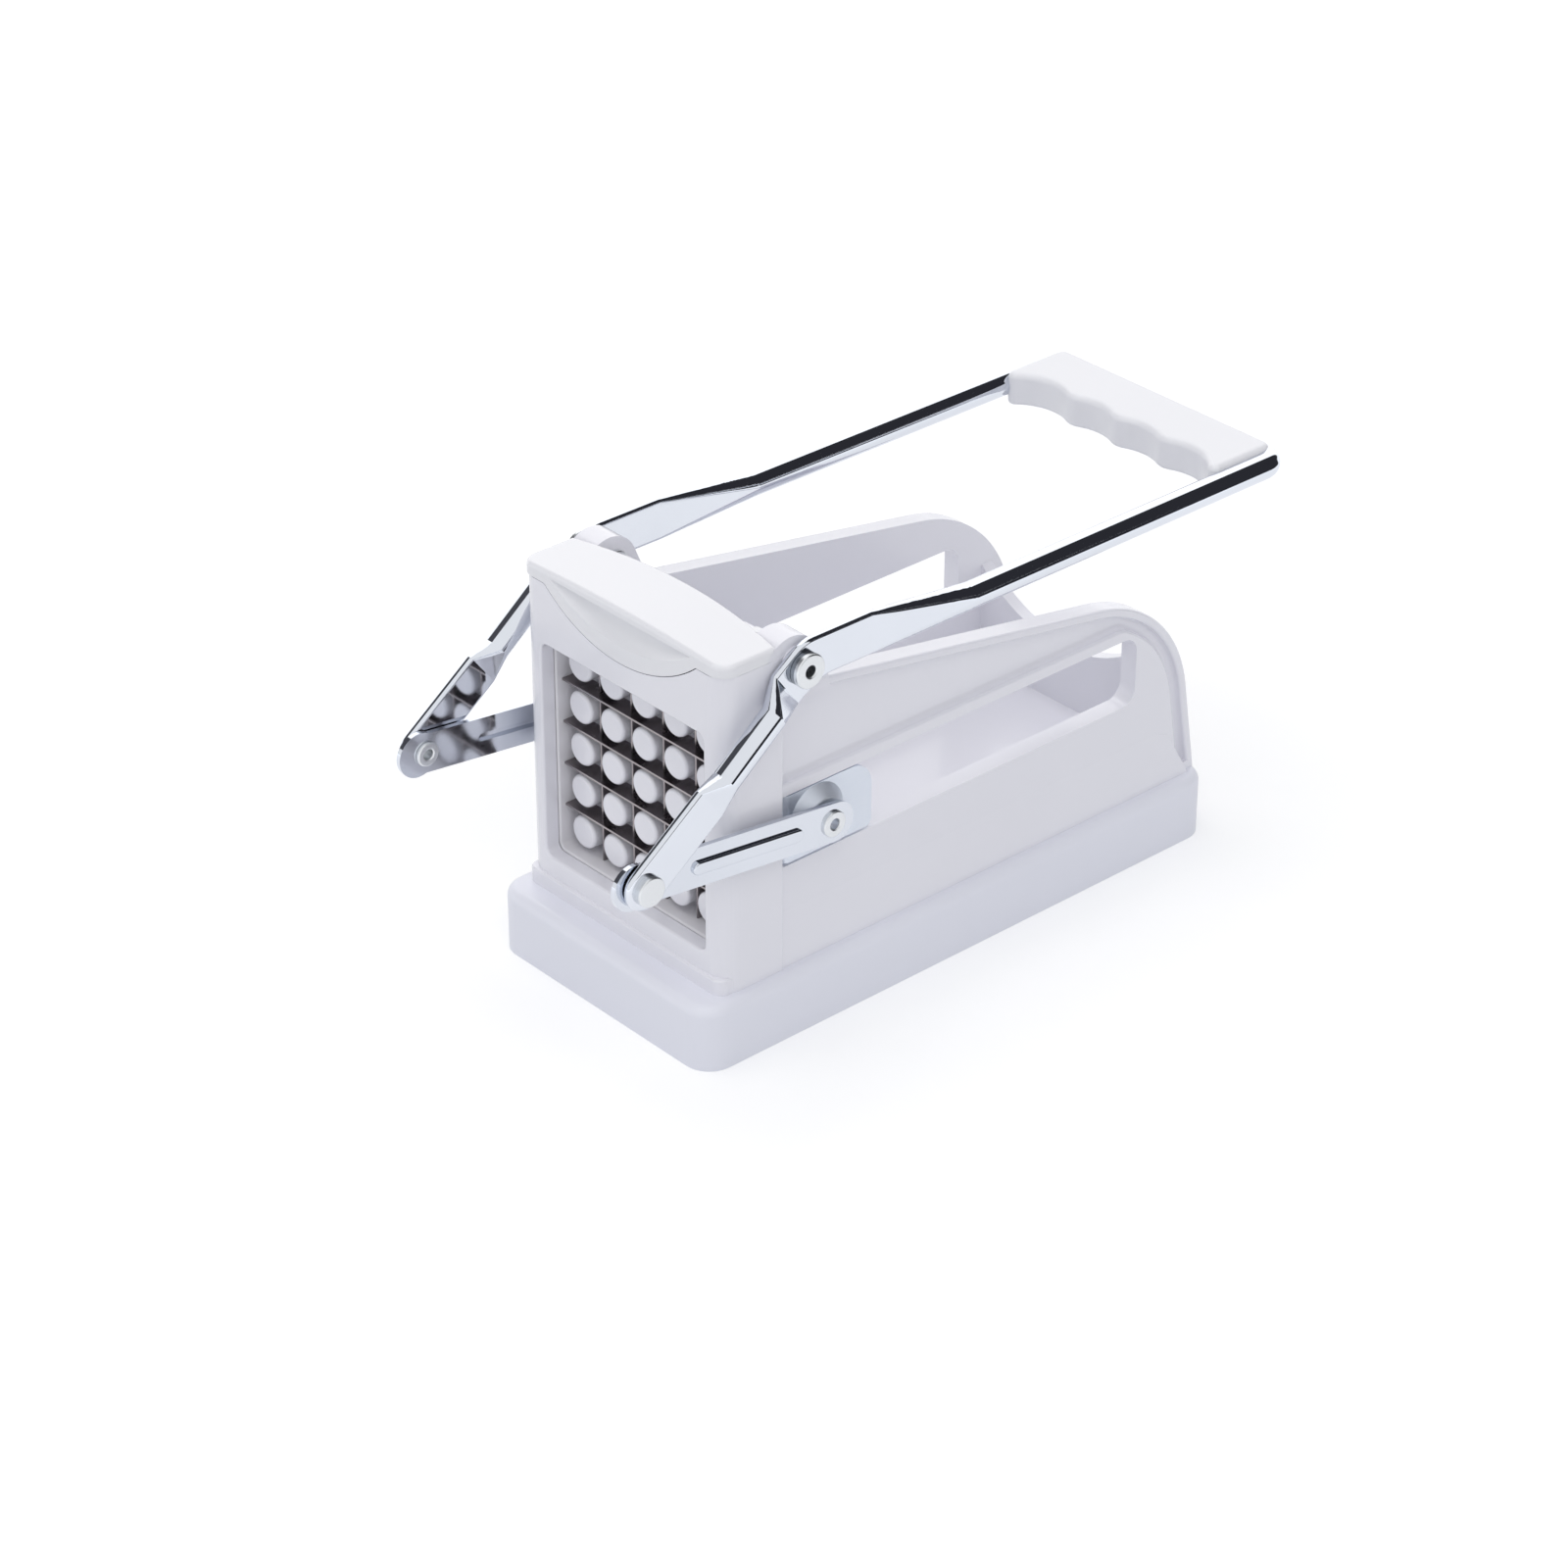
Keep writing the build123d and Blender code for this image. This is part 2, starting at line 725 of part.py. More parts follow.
with BuildPart() as pusher_bracket:
    with BuildSketch(Plane.XY.offset(bracket_bottom)) as strap:
        with BuildLine():
            FilletPolyline(
                (-bracket_outside, bracket_rear),
                (-bracket_outside, plate_rear),
                (bracket_outside, plate_rear),
                (bracket_outside, bracket_rear),
                radius=bracket_bend,
            )
            FilletPolyline(
                (-bracket_inside, bracket_rear),
                (-bracket_inside, web_rear),
                (bracket_inside, web_rear),
                (bracket_inside, bracket_rear),
                radius=bracket_bend - bracket_thickness,
            )
            Line((-bracket_outside, bracket_rear), (-bracket_inside, bracket_rear))
            Line((bracket_outside, bracket_rear), (bracket_inside, bracket_rear))
        make_face()
    extrude(amount=bracket_top - bracket_bottom)
    rear_corners = pusher_bracket.edges().filter_by(Axis.X).group_by(Axis.Y)[-1]
    fillet(rear_corners.group_by(Axis.Z)[-1], bracket_corner)
    fillet(rear_corners.group_by(Axis.Z)[0], bracket_low_corner)
    # drawn stand-off that carries the wrist rivet clear of the link
    for side in (1, -1):
        with BuildSketch(Plane.YZ.offset(side * bracket_outside)):
            with Locations(wrist):
                Circle(pad_radius + pad_cone)
        with BuildSketch(Plane.YZ.offset(side * pad_face)):
            with Locations(wrist):
                Circle(pad_radius)
        loft()
        pad = pusher_bracket.faces().filter_by(Axis.X).sort_by(Axis.X, reverse=side > 0)[0]
        fillet(pad.edges(), pad_edge)
        with BuildSketch(Plane.YZ.offset(side * bracket_inside)):
            with Locations(wrist):
                Circle(pad_radius + pad_cone - bracket_thickness)
        with BuildSketch(Plane.YZ.offset(side * (pad_face - bracket_thickness))):
            with Locations(wrist):
                Circle(pad_radius - bracket_thickness)
        loft(mode=Mode.SUBTRACT)
        disc(side, wrist, wrist_shank + pin_clearance, bracket_outside, pad_face, Mode.SUBTRACT)
    posts(
        Plane.XZ.offset(-web_rear),
        pusher_screw_spots,
        screw_shank,
        bracket_thickness,
        Mode.SUBTRACT,
    )
save(pusher_bracket, "pusher_bracket")

with BuildPart() as pusher_screws:
    posts(Plane.XZ.offset(-web_rear), pusher_screw_spots, screw_head, -screw_head_height)
    reach = bracket_thickness + pusher_screw_reach
    posts(Plane.XZ.offset(-web_rear), pusher_screw_spots, screw_shank, reach)
save(pusher_screws, "pusher_screws")

# --- lid ----------------------------------------------------------------------------------
lid_bottom = block_top + lid_seam
lid_half = lid_width / 2
lid_low_edge = lid_bottom + lid_height
lid_crest = lid_low_edge + lid_crown
crown_radius = (lid_half**2 + lid_crown**2) / (2 * lid_crown)
lobe_low = block_top - lobe_drop + lobe_gap


# The finger recess is turned about the same line as its lower edge.
recess_z = recess_low + recess_radius
recess_rise = recess_top - recess_low
recess_bend = (recess_depth**2 + recess_rise**2) / (2 * recess_depth)

with BuildPart() as finger_recess:
    with BuildSketch(Plane.YZ) as recess_section:
        with Locations((block_front + recess_depth - recess_bend, recess_top)):
            Circle(recess_bend)
        with Locations((block_front + recess_bend / 2 - overrun, recess_low + recess_rise)):
            Rectangle(recess_bend, 2 * recess_rise, mode=Mode.INTERSECT)
    revolve(axis=Axis((0, 0, recess_z), (0, 1, 0)))
    with BuildSketch(Plane.XY.offset(recess_top)):
        Rectangle(4 * recess_radius, 4 * lid_width)
    extrude(amount=-2 * recess_rise, mode=Mode.INTERSECT)

with BuildPart() as lid:
    with BuildSketch(Plane.XZ.offset(-lid_rear_middle)):
        with Locations((0, lid_crest - crown_radius)):
            Circle(crown_radius)
        with Locations((0, (lid_bottom + lid_crest) / 2)):
            Rectangle(lid_width + 2 * overrun, lid_crest - lid_bottom, mode=Mode.INTERSECT)
    extrude(amount=lid_rear_middle - block_front)
    with BuildSketch(Plane.XY.offset(lid_bottom)) as lid_plan:
        with BuildLine():
            Polyline(
                (-lid_half, lid_rear_side),
                (-lid_half, block_front),
                (lid_half, block_front),
                (lid_half, lid_rear_side),
            )
            ThreePointArc(
                (lid_half, lid_rear_side), (0, lid_rear_middle), (-lid_half, lid_rear_side)
            )
        make_face()
        fillet(lid_plan.vertices().group_by(Axis.Y)[0], lid_corner)
    extrude(amount=lid_crest - lid_bottom, mode=Mode.INTERSECT)
    crown = lid.faces().filter_by(GeomType.CYLINDER).sort_by(SortBy.AREA)[-1]
    fillet(crown.edges(), lid_edge)
    # lobe that closes the dip in the front wall, with a finger recess under the crown
    with BuildSketch(Plane.XZ.offset(-block_front)):
        with Locations((0, lobe_z)):
            Circle(lobe_radius - lobe_gap)
        with Locations((0, (lobe_low + lid_bottom) / 2)):
            Rectangle(lid_width, lid_bottom - lobe_low + overrun, mode=Mode.INTERSECT)
    extrude(amount=-lobe_thickness)
    add(finger_recess.part, mode=Mode.SUBTRACT)
    # the ears stand beside the lid's rear corners, and its lugs turn on the hinge pins
    for side in (1, -1):
        disc(
            side,
            (ear_y, ear_z),
            ear_radius + lid_gap,
            ear_inside - lid_gap,
            lid_half + overrun,
            Mode.SUBTRACT,
        )
        with BuildSketch(Plane.YZ.offset(side * lug_inside)):
            with Locations(pivot):
                Circle(lug_radius)
            with BuildLine():
                Polyline(
                    (block_rear - lug_foot, lid_bottom),
                    (block_rear - lug_foot, lid_bottom + lug_foot_height),
                    (pivot_y + lug_radius * 0.4, pivot_z + lug_radius * 0.9),
                    (pivot_y, pivot_z),
                    (pivot_y - lug_radius, pivot_z),
                    (pivot_y - lug_radius, lid_bottom),
                    close=True,
                )
            make_face()
        extrude(amount=side * lug_width)
        lug_outside = lug_inside + lug_width
        disc(side, pivot, lid_pin_radius + pin_clearance, lug_inside, lug_outside, Mode.SUBTRACT)
save(lid, "lid")

with BuildPart() as lid_hinge_pins:
    for side in (1, -1):
        disc(side, pivot, lid_pin_radius, post_inside, lug_outside)
save(lid_hinge_pins, "lid_hinge_pins")

# --- lever --------------------------------------------------------------------------------
tube_radius = tube_diameter / 2
upper_plate_x = upper_plate_inside + upper_plate_thickness / 2
upper_plate_low = pivot_z - upper_plate_drop
upper_plate_high = upper_plate_low + upper_plate_height
lower_plate_x = lower_plate_inside + lower_plate_thickness / 2
lower_plate_outside = lower_plate_inside + lower_plate_thickness
handle_y = handle_rear - tube_radius
upper_middle = (upper_plate_low + upper_plate_high) / 2
arm_slope = (arm_offset_bottom - arm_offset_top) / (lower_flat_start - arm_round_start)
round_corner = tube_radius * 0.995  # corner that makes a square section round


def arm_point(s, n):
    """The (y, z) of a point s along the arm from the pivot and n in front of its line."""
    return (pivot_y + along_y * s + along_z * n, pivot_z + along_z * s - along_y * n)


def arm_plane(x, s, n):
    """A plane square across the arm, with its centre at a given place."""
    y, z = arm_point(s, n)
    return placed((x, y, z), (1, 0, 0), (0, along_y, along_z))


def arm_offset(s):
    """How far the arm's centre line stands in front of the line through its pivots."""
    return arm_offset_top + arm_slope * (s - arm_round_start)


def along_arm(point):
    """How far along the arm from the pivot a point lies."""
    return (point.Y - pivot_y) * along_y + (point.Z - pivot_z) * along_z


lower_flat = placed((lower_plate_outside, *pivot), (0, along_y, along_z), (-1, 0, 0))

# The arm's flat end, a strip with a round end about the crank pin and soft edges.
flat_front = upper_flat_offset + upper_flat_width / 2
flat_back = upper_flat_offset - upper_flat_width / 2
# The upper plate's top line turns down where it meets the front line of the flat stretch.
bend_s = (pivot_z - along_y * flat_front - upper_plate_high) / -along_z
bend_y = arm_point(bend_s, flat_front)[0]

with BuildPart() as crank_end:
    with BuildSketch(lower_flat):
        with BuildLine():
            Polyline(
                (crank_length, arm_offset_bottom + lower_plate_width / 2),
                (lower_flat_start, arm_offset_bottom + lower_plate_width / 2),
                (lower_flat_start, arm_offset_bottom - lower_plate_width / 2),
                (crank_length, arm_offset_bottom - lower_plate_width / 2),
            )
            ThreePointArc(
                (crank_length, arm_offset_bottom - lower_plate_width / 2),
                (crank_length + lower_plate_width / 2, arm_offset_bottom),
                (crank_length, arm_offset_bottom + lower_plate_width / 2),
            )
        make_face()
    extrude(amount=lower_plate_thickness)
    rims = crank_end.faces().filter_by(Axis.X).edges()
    fillet(rims.filter_by(lambda edge: along_arm(edge.center()) > lower_flat_start + 1), plate_edge)

with BuildPart() as lever:
    # flat plate about the pivot, bent down towards the arm
    with BuildSketch(Plane.YZ.offset(upper_plate_inside)):
        with BuildLine():
            FilletPolyline(
                (taper_start, upper_plate_high),
                (bend_y, upper_plate_high),
                arm_point(upper_flat_end, flat_front),
                radius=bend_outer,
            )
            Line(arm_point(upper_flat_end, flat_front), arm_point(upper_flat_end, flat_back))
            FilletPolyline(
                arm_point(upper_flat_end, flat_back),
                arm_point(upper_flat_end - flat_lead, flat_back),
                (hollow_y, upper_plate_low),
                (taper_start, upper_plate_low),
                radius=[flat_lead, bend_inner],
            )
            Line((taper_start, upper_plate_low), (taper_start, upper_plate_high))
        make_face()
    extrude(amount=upper_plate_thickness)
    upper_ends = (
        lever.faces().sort_by(Axis.Y)[-1].edges()
        + lever.faces().sort_by_distance((upper_plate_x, *arm_point(upper_flat_end, 0)))[0].edges()
    )
    flats = lever.faces().filter_by(Axis.X).edges()
    fillet([edge for edge in flats if edge not in upper_ends], plate_edge)
    # taper from the plate to the round handle tube
    with BuildSketch(placed((upper_plate_x, taper_start, upper_middle), (1, 0, 0), (0, 1, 0))):
        RectangleRounded(upper_plate_thickness, upper_plate_height, plate_edge)
    with BuildSketch(placed((handle_x, handle_start, handle_z), (1, 0, 0), (0, 1, 0))):
        RectangleRounded(tube_diameter, tube_diameter, round_corner)
    loft()
    # crank arm: flat, round and flat again
    with BuildSketch(arm_plane(upper_plate_x, upper_flat_end, upper_flat_offset)):
        RectangleRounded(upper_plate_thickness, upper_flat_width, plate_edge)
    with BuildSketch(arm_plane(arm_x, arm_round_start, arm_offset_top)):
        RectangleRounded(tube_diameter, tube_diameter, round_corner)
    with BuildSketch(arm_plane(arm_x, arm_round_end, arm_offset(arm_round_end))):
        RectangleRounded(tube_diameter, tube_diameter, round_corner)
    with BuildSketch(arm_plane(lower_plate_x, lower_flat_start, arm_offset(lower_flat_start))):
        RectangleRounded(lower_plate_thickness, lower_plate_width, plate_edge)
    loft(ruled=True)
    add(crank_end.part)
    disc(1, pivot, pivot_shank + pin_clearance, ear_outside, arm_x, Mode.SUBTRACT)
    disc(1, crank, crank_shank, link_inside, crank_face, Mode.SUBTRACT)
    mirror(about=Plane.YZ)
    # U of round tube that carries the grip
    with BuildLine(Plane.XY.offset(handle_z)) as handle_path:
        FilletPolyline(
            (handle_x, handle_start),
            (handle_x, handle_y),
            (-handle_x, handle_y),
            (-handle_x, handle_start),
            radius=handle_bend,
        )
    with BuildSketch(placed((handle_x, handle_start, handle_z), (1, 0, 0), (0, 1, 0))):
        RectangleRounded(tube_diameter, tube_diameter, round_corner)
    sweep()
save(lever, "lever")

# --- links --------------------------------------------------------------------------------
link_length = sqrt((wrist_y - crank_y) ** 2 + (wrist_z - crank_z) ** 2)
link_y = (wrist_y - crank_y) / link_length
link_z = (wrist_z - crank_z) / link_length
link_outside = link_inside + link_thickness

for side, hand in ((1, "right"), (-1, "left")):
    # Each link is drawn along its own length, from the crank pin to the wrist pin.
    along = (0, link_y, link_z)
    inner = placed((side * link_inside, *crank), along, (side, 0, 0))
    outer = placed((side * link_outside, *crank), along, (side, 0, 0))
    with BuildPart() as link:
        with BuildSketch(inner):
            with Locations((-link_front_reach, 0)):
                Circle(link_front_lobe)
            with Locations(((link_length + link_rear_reach) / 2, 0)):
                SlotCenterToCenter(link_length + link_rear_reach, 2 * link_half_width)
        extrude(amount=link_thickness)
        with BuildSketch(outer):
            with Locations(((rib_start + rib_end) / 2, 0)):
                SlotOverall(rib_end - rib_start, rib_width)
        extrude(amount=rib_height)
        rib_top = link.faces().filter_by(Axis.X).sort_by(Axis.X, reverse=side < 0)[-1]
        fillet(rib_top.edges(), rib_edge)
        with BuildSketch(inner):
            with Locations(((rib_start + rib_end) / 2, 0)):
                SlotOverall(rib_end - rib_start - groove_inset, rib_width - groove_inset)
        extrude(amount=rib_height, mode=Mode.SUBTRACT)
        with BuildSketch(inner):
            Circle(crank_shank + pin_clearance)
            with Locations((link_length, 0)):
                Circle(wrist_shank)
        extrude(amount=link_thickness, mode=Mode.SUBTRACT)
    save(link, f"link_{hand}")


# --- rivets and washers -------------------------------------------------------------------
def rivet(side, centre, profile, rounds, radius):
    """Turn a rivet's half section, given as (distance from the middle plane, radius)."""
    y, z = centre
    with BuildPart() as turned:
        with BuildSketch(placed((0, y, z), (side, 0, 0), (0, -side, 0))) as section:
            with BuildLine():
                Polyline(*profile, close=True)
            make_face()
            fillet([section.vertices().sort_by_distance(spot)[0] for spot in rounds], radius)
        revolve(axis=Axis((0, y, z), (1, 0, 0)))
    return turned


washer_inside = upper_plate_inside + upper_plate_thickness + face_gap
washer_outside = pivot_face - head_thickness
crank_head_inside = lower_plate_outside
crank_tail_outside = link_inside - face_gap

for side, hand in ((1, "right"), (-1, "left")):
    pivot_rivet = rivet(
        side,
        pivot,
        [
            (pivot_inside, 0),
            (pivot_inside, pivot_tail),
            (ear_inside, pivot_tail),
            (ear_inside, pivot_shank),
            (washer_outside, pivot_shank),
            (washer_outside, pivot_head),
            (pivot_face, pivot_head),
            (pivot_face, pivot_hole),
            (pivot_face - pivot_hole_depth, pivot_hole),
            (pivot_face - pivot_hole_depth, 0),
        ],
        [(pivot_face, pivot_head), (pivot_face, pivot_hole), (pivot_inside, pivot_tail)],
        rivet_edge,
    )
    save(pivot_rivet, f"pivot_rivet_{hand}")

    with BuildPart() as washer:
        disc(side, pivot, washer_radius, washer_inside, washer_outside)
        disc(side, pivot, pivot_shank, washer_inside, washer_outside, Mode.SUBTRACT)
    save(washer, f"pivot_washer_{hand}")

    crank_rivet = rivet(
        side,
        crank,
        [
            (crank_inside + crank_hole_depth, 0),
            (crank_inside + crank_hole_depth, crank_hole),
            (crank_inside, crank_hole),
            (crank_inside, crank_tail),
            (crank_tail_outside, crank_tail),
            (crank_tail_outside, crank_shank),
            (crank_head_inside, crank_shank),
            (crank_head_inside, crank_head),
            (crank_face, crank_head),
            (crank_face, 0),
        ],
        [(crank_face, crank_head), (crank_inside, crank_tail), (crank_inside, crank_hole)],
        rivet_edge,
    )
    save(crank_rivet, f"crank_rivet_{hand}")

    wrist_rivet = rivet(
        side,
        wrist,
        [
            (pad_face + wrist_gap, wrist_hole),
            (pad_face + wrist_gap, wrist_shank),
            (link_outside, wrist_shank),
            (link_outside, wrist_head),
            (wrist_face, wrist_head),
            (wrist_face, wrist_hole),
        ],
        [(wrist_face, wrist_head), (wrist_face, wrist_hole)],
        wrist_edge,
    )
    save(wrist_rivet, f"wrist_rivet_{hand}")

# --- grip ---------------------------------------------------------------------------------
finger_row = [(i - (finger_count - 1) / 2) * finger_pitch for i in range(finger_count)]
grip_screw_spots = [
    ((i - (grip_screw_count - 1) / 2) * grip_screw_pitch, grip_screw_y)
    for i in range(grip_screw_count)
]
grip_seat = Plane.XY.offset(grip_bottom + grip_well)


def grip_half(height, outer_face, edge):
    """One half of the grip from the split to its outer face, bedded on the lever's tube."""
    with BuildPart() as half:
        with BuildSketch(Plane.XY.offset(handle_z)) as plan:
            with Locations((0, (grip_front - finger_radius + grip_rear) / 2)):
                Rectangle(grip_width, grip_rear - grip_front + finger_radius)
            with Locations(*[(x, grip_front - finger_radius) for x in finger_row]):
                Circle(finger_radius, mode=Mode.SUBTRACT)
            ridges = plan.vertices().filter_by(lambda spot: abs(spot.X) < finger_row[-1])
            fillet(ridges, finger_ridge)
            ends = plan.vertices().filter_by(lambda spot: abs(spot.X) > finger_row[-1])
            fillet(ends.group_by(Axis.Y)[0], grip_corner)
            fillet(plan.vertices().group_by(Axis.Y)[-1], grip_rear_corner)
        extrude(amount=height)
        fillet(half.faces().filter_by(Axis.Z).sort_by(Axis.Z)[outer_face].edges(), edge)
        add(lever.part, mode=Mode.SUBTRACT)
    return half


upper_half = grip_half(grip_top - handle_z, -1, grip_edge)
with BuildPart() as grip_upper:
    add(upper_half.part)
    bore = grip_screw_top - handle_z
    posts(Plane.XY.offset(handle_z), grip_screw_spots, screw_shank, bore, Mode.SUBTRACT)
save(grip_upper, "grip_upper")

lower_half = grip_half(grip_bottom - handle_z, 0, grip_low_edge)
with BuildPart() as grip_lower:
    add(lower_half.part)
    posts(grip_seat, grip_screw_spots, screw_head + seat_clearance, -grip_well, Mode.SUBTRACT)
    posts(grip_seat, grip_screw_spots, screw_shank, handle_z - grip_bottom, Mode.SUBTRACT)
save(grip_lower, "grip_lower")

with BuildPart() as grip_screws:
    posts(grip_seat, grip_screw_spots, screw_head, -screw_head_height)
    reach = grip_screw_top - grip_bottom - grip_well - screw_play
    posts(grip_seat, grip_screw_spots, screw_shank, reach)
save(grip_screws, "grip_screws")

# --- base screws --------------------------------------------------------------------------
with BuildPart() as base_screws:
    base_seat = Plane.XY.offset(well_top)
    posts(base_seat, base_screw_spots, base_screw_head, -screw_head_height)
    reach = base_height - well_top + base_screw_reach
    posts(base_seat, base_screw_spots, screw_shank, reach)
save(base_screws, "base_screws")
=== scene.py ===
import math

import bpy
from mathutils import Matrix, Vector

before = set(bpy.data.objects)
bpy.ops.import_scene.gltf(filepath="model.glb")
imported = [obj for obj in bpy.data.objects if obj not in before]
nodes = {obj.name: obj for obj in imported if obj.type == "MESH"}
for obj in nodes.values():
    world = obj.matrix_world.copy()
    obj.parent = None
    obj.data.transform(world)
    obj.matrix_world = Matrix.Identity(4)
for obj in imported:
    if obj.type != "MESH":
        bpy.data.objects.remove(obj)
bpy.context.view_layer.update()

print("frame loaded:", len(nodes), "nodes")

scene = bpy.context.scene


# Small helpers for building node trees, from an empty material to a bumped normal.
def emptyMaterial(name):
    material = bpy.data.materials.new(name)
    material.use_nodes = True
    tree = material.node_tree
    tree.nodes.clear()
    output = tree.nodes.new("ShaderNodeOutputMaterial")
    return material, tree, output.inputs["Surface"]


def freshMaterial(name):
    material, tree, surface = emptyMaterial(name)
    shader = tree.nodes.new("ShaderNodeBsdfPrincipled")
    tree.links.new(shader.outputs["BSDF"], surface)
    return material, tree, shader


def objectPlace(tree, scale=(1, 1, 1)):
    place = tree.nodes.new("ShaderNodeTexCoord")
    mapping = tree.nodes.new("ShaderNodeMapping")
    mapping.inputs["Scale"].default_value = scale
    tree.links.new(place.outputs["Object"], mapping.inputs["Vector"])
    return mapping.outputs["Vector"]


def noise(tree, vector, scale, detail, roughness=0.55):
    node = tree.nodes.new("ShaderNodeTexNoise")
    node.inputs["Scale"].default_value = scale
    node.inputs["Detail"].default_value = detail
    node.inputs["Roughness"].default_value = roughness
    tree.links.new(vector, node.inputs["Vector"])
    return node.outputs["Fac"]


# Spreads a value over a new range. Most of a noise lies between 0.3 and 0.7.
def spread(tree, value, low, high, fromLow=0.3, fromHigh=0.7):
    node = tree.nodes.new("ShaderNodeMapRange")
    node.inputs["From Min"].default_value = fromLow
    node.inputs["From Max"].default_value = fromHigh
    node.inputs["To Min"].default_value = low
    node.inputs["To Max"].default_value = high
    tree.links.new(value, node.inputs["Value"])
    return node.outputs["Result"]


# A tone between two others; a value of 0 gives the first and 1 the second.
def twoTones(tree, value, low, high):
    node = tree.nodes.new("ShaderNodeMix")
    node.data_type = "RGBA"
    node.inputs["A"].default_value = (*low, 1)
    node.inputs["B"].default_value = (*high, 1)
    tree.links.new(value, node.inputs["Factor"])
    return node.outputs["Result"]


def bump(tree, height, strength, distance):
    node = tree.nodes.new("ShaderNodeBump")
    node.inputs["Strength"].default_value = strength
    node.inputs["Distance"].default_value = distance
    tree.links.new(height, node.inputs["Height"])
    return node.outputs["Normal"]


# Moulded plastics: a faint unevenness of tone and sheen, and a very fine moulded skin.
def mouldedPlastic(name, look):
    material, tree, shader = freshMaterial(name)
    place = objectPlace(tree)
    cloud = noise(tree, place, look["cloudScale"], look["cloudDetail"])
    shader.inputs["IOR"].default_value = look["ior"]
    shader.inputs["Specular IOR Level"].default_value = look["specular"]
    shader.inputs["Coat Weight"].default_value = look["coat"]
    shader.inputs["Coat Roughness"].default_value = look["coatRoughness"]
    tone = twoTones(tree, spread(tree, cloud, 0, 1), look["deepTone"], look["tone"])
    tree.links.new(tone, shader.inputs["Base Color"])
    patches = noise(tree, place, look["sheenScale"], look["sheenDetail"])
    sheen = spread(tree, patches, *look["roughness"])
    tree.links.new(sheen, shader.inputs["Roughness"])
    grain = noise(tree, place, look["skinScale"], look["skinDetail"], look["skinGrit"])
    skin = bump(tree, grain, look["skinStrength"], look["skinDepth"])
    tree.links.new(skin, shader.inputs["Normal"])
    return material


# Plated and bare steels: fine scratches along a direction, and a faint unevenness of tone.
def platedSteel(name, look):
    material, tree, shader = freshMaterial(name)
    place = objectPlace(tree, look["grain"])
    shader.inputs["Metallic"].default_value = 1.0
    cloud = noise(tree, objectPlace(tree), look["cloudScale"], look["cloudDetail"])
    tone = twoTones(tree, spread(tree, cloud, 0, 1), look["deepTone"], look["tone"])
    tree.links.new(tone, shader.inputs["Base Color"])
    scratches = noise(
        tree, place, look["scratchScale"], look["scratchDetail"], look["scratchGrit"]
    )
    polish = spread(tree, scratches, *look["roughness"])
    tree.links.new(polish, shader.inputs["Roughness"])
    surface = bump(tree, scratches, look["scratchStrength"], look["scratchDepth"])
    tree.links.new(surface, shader.inputs["Normal"])
    return material


# Finishes. Tones are linear red, green and blue, roughness goes from shiniest to dullest,
# scales are in waves to the metre and depths in metres.
bodyPlastic = {
    "tone": (0.866, 0.864, 0.918),
    "deepTone": (0.852, 0.848, 0.903),
    "cloudScale": 14.0,
    "cloudDetail": 3,
    "ior": 1.5,
    "specular": 0.5,
    "coat": 0.35,
    "coatRoughness": 0.10,
    "roughness": (0.22, 0.27),
    "sheenScale": 25.0,
    "sheenDetail": 5,
    "skinScale": 700.0,
    "skinDetail": 2,
    "skinGrit": 0.5,
    "skinStrength": 0.03,
    "skinDepth": 0.00004,
}
# The lid's tone is darker than the body's: painted shade, which tones down the overhead light
# on its top face. The grip takes the same darker tone.
paintedShadeLidPlastic = dict(bodyPlastic, tone=(0.855, 0.858, 0.890), deepTone=(0.842, 0.845, 0.878))
gripPlastic = dict(paintedShadeLidPlastic, roughness=(0.30, 0.36), coat=0.12, skinStrength=0.06)
framePlastic = dict(bodyPlastic, tone=(0.83, 0.82, 0.85), deepTone=(0.80, 0.79, 0.82))
# The base's tone is lifted to about the body's lightness: painted light, which offsets the
# shade the base gets near the table.
paintedLightBasePlastic = dict(
    bodyPlastic,
    tone=(0.862, 0.872, 0.948),
    deepTone=(0.848, 0.858, 0.934),
    roughness=(0.36, 0.42),
    coat=0.0,
    skinStrength=0.08,
)
chromeTube = {
    "tone": (0.73, 0.76, 0.82),
    "deepTone": (0.70, 0.73, 0.79),
    "cloudScale": 30.0,
    "cloudDetail": 3,
    "grain": (400.0, 60.0, 400.0),  # scratches run along the least of these
    "scratchScale": 6.0,
    "scratchDetail": 6,
    "scratchGrit": 0.7,
    "roughness": (0.03, 0.07),
    "scratchStrength": 0.02,
    "scratchDepth": 0.00005,
}
platedStrip = dict(
    chromeTube, tone=(0.69, 0.72, 0.78), deepTone=(0.66, 0.69, 0.75), roughness=(0.06, 0.12)
)
bracketSteel = dict(
    chromeTube,
    tone=(0.78, 0.82, 0.89),
    deepTone=(0.76, 0.80, 0.87),
    roughness=(0.56, 0.64),
)
rivetSteel = dict(
    chromeTube,
    tone=(0.76, 0.78, 0.80),
    deepTone=(0.70, 0.72, 0.74),
    roughness=(0.26, 0.36),
    scratchStrength=0.08,
)
washerSteel = dict(
    rivetSteel, tone=(0.30, 0.32, 0.35), deepTone=(0.20, 0.22, 0.25), roughness=(0.25, 0.40)
)
screwSteel = dict(rivetSteel, tone=(0.62, 0.63, 0.64), deepTone=(0.50, 0.51, 0.52))
bladeSteel = dict(
    chromeTube,
    tone=(0.37, 0.34, 0.35),
    deepTone=(0.30, 0.275, 0.285),
    grain=(20.0, 20.0, 900.0),
    roughness=(0.18, 0.30),
    scratchStrength=0.1,
)

